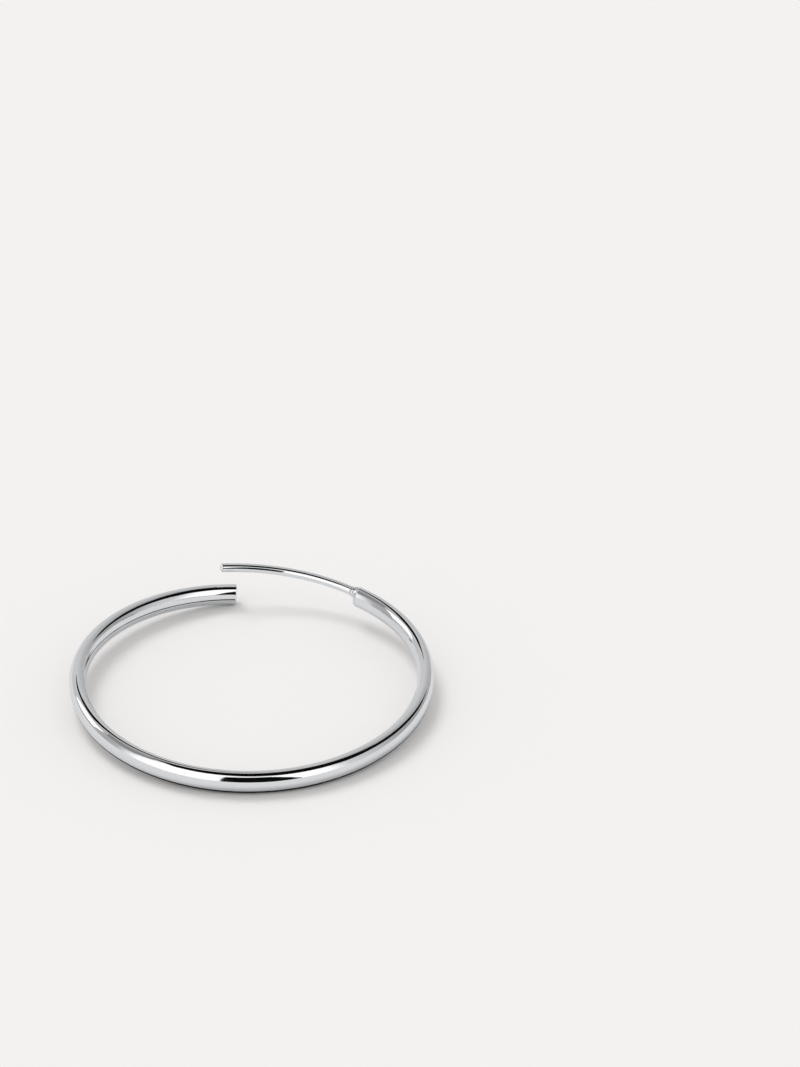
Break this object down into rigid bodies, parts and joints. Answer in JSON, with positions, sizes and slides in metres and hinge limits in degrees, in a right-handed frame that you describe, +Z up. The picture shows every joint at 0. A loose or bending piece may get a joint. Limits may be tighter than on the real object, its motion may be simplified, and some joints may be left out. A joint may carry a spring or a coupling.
{
  "type": "hoop earring",
  "caption": "Plain open hoop earring of thin oval metal tube; a sprung ear wire at one end passes the open mouth of the other. It lies on its side.",
  "frame": {"origin": "middle of the bounding box's base, on the surface the earring lies on", "axes": "+Z up from that surface, close to the ring's own axis; +Y towards the gap, the open mouth and the ear wire; +X towards the end that carries the wire"},
  "size_m": [0.035, 0.035, 0.0046],
  "materials": {
    "polished_silver": "mirror-polished silver with faint wear",
    "wire_silver": "mirror-polished silver, slightly softer than the tube"
  },
  "bodies": {
    "root": {"hoop_tube": "polished_silver", "ear_wire": "wire_silver"}
  },
  "joints": []
}
